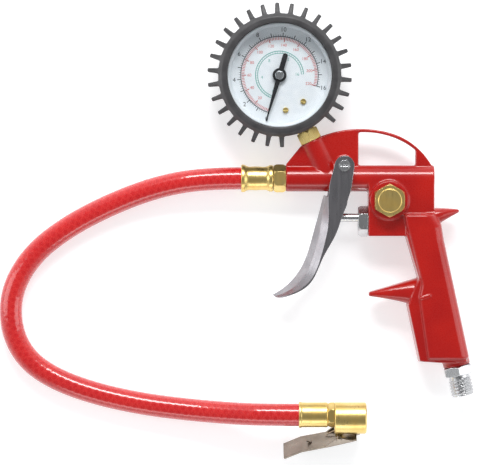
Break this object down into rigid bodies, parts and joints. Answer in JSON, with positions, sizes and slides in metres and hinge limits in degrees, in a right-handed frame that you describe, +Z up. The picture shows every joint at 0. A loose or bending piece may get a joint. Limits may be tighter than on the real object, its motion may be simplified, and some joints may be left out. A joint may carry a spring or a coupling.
{
  "type": "tyre inflator with gauge",
  "caption": "Pistol-grip tyre inflator with a booted dial gauge, a squeeze trigger, a threaded air inlet and a hose ending in a clip-on chuck.",
  "frame": {"origin": "on the surface the inflator lies on, under the middle of the gun and gauge", "axes": "+X along the barrel from the hose end to the grip end, +Y from the inlet up to the gauge, +Z up, out of the dial's face"},
  "size_m": [0.2669, 0.2556, 0.0291],
  "materials": {
    "red_paint": "gloss paint on a casting",
    "brass": "turned, bright",
    "steel": "plated, satin",
    "trigger_steel": "nickel plated",
    "boot_rubber": "moulded, matte",
    "seal_rubber": "matte",
    "hose_red": "clear red skin over braid",
    "dial_white": "painted white",
    "case_black": "satin black",
    "pointer_black": "satin black",
    "lens_clear": "clear, glossy",
    "spring_steel": "bright wire"
  },
  "bodies": {
    "root": {"gun_body": "red_paint", "inlet_plug": "steel", "gland_nut": "steel", "rod_seal": "seal_rubber", "valve_seat": "brass", "valve_spring": "spring_steel", "valve_plug": "brass", "plug_washer": "seal_rubber", "check_spring": "spring_steel", "pivot_screw": "steel", "pivot_nut": "steel", "gauge_boot": "boot_rubber", "gauge_case": "case_black", "lens": "lens_clear", "bezel": "case_black", "dial_ring": "dial_white", "dial": "dial_white", "dial_screws": "brass", "gauge_socket": "brass", "bourdon_tube": "brass", "movement_back_plate": "brass", "movement_front_plate": "brass", "movement_pillars": "brass", "hairspring": "spring_steel", "hose_fitting": "brass", "hose_ferrule": "brass", "hose": "hose_red", "chuck_ferrule": "brass", "chuck_fitting": "brass", "chuck_body": "brass", "chuck_seal": "seal_rubber", "core_pin": "brass", "clip_pin": "steel"},
    "trigger": {"trigger": "trigger_steel"},
    "valve_rod": {"push_rod": "steel", "poppet": "brass", "poppet_seal": "seal_rubber"},
    "check_valve": {"check_ball": "steel"},
    "pointer": {"pinion_shaft": "steel", "pointer": "pointer_black", "pointer_cap": "steel"},
    "sector": {"sector_gear": "brass"},
    "link": {"link": "brass"},
    "clip": {"clip_lever": "trigger_steel", "clip_spring": "spring_steel"}
  },
  "joints": [
    {"name": "trigger_pivot", "type": "hinge", "parent": "root", "child": "trigger", "pos_m": [0.0011, 0.0199, 0.012], "axis": [0, 0, 1], "range_deg": [0, 12], "stiffness_Nm_per_rad": 1.2, "springref_deg": -20.05},
    {"name": "rod_slide", "type": "slide", "parent": "root", "child": "valve_rod", "axis": [1, 0, 0], "range_m": [0, 0.0066], "deforming": ["valve_spring"]},
    {"name": "check_lift", "type": "slide", "parent": "root", "child": "check_valve", "axis": [0, 0, 1], "range_m": [0, 0.0015], "stiffness_N_per_m": 60, "springref_m": -0.004, "deforming": ["check_spring"]},
    {"name": "sector_turn", "type": "hinge", "parent": "root", "child": "sector", "pos_m": [-0.04052, 0.08153, 0.008], "axis": [0, 0, 1], "range_deg": [0, 45], "stiffness_Nm_per_rad": 0.002, "springref_deg": -11.46},
    {"name": "pointer_turn", "type": "hinge", "parent": "root", "child": "pointer", "pos_m": [-0.035, 0.0702, 0.0176], "axis": [0, 0, 1], "range_deg": [-270, 0]},
    {"name": "link_swing", "type": "hinge", "parent": "sector", "child": "link", "pos_m": [-0.04651, 0.08116, 0.0098], "axis": [0, 0, 1], "range_deg": [-45, 0]},
    {"name": "clip_pivot", "type": "hinge", "parent": "root", "child": "clip", "pos_m": [-0.0018, -0.13023, 0.01325], "axis": [0, 0.5, -0.866], "range_deg": [0, 18], "stiffness_Nm_per_rad": 0.25, "springref_deg": -34.38}
  ],
  "couplings": [
    {"joint": "rod_slide", "follows": "trigger_pivot", "m_per_rad": 0.0308},
    {"joint": "pointer_turn", "follows": "sector_turn", "ratio": -6},
    {"joint": "link_swing", "follows": "sector_turn", "ratio": -1}
  ]
}
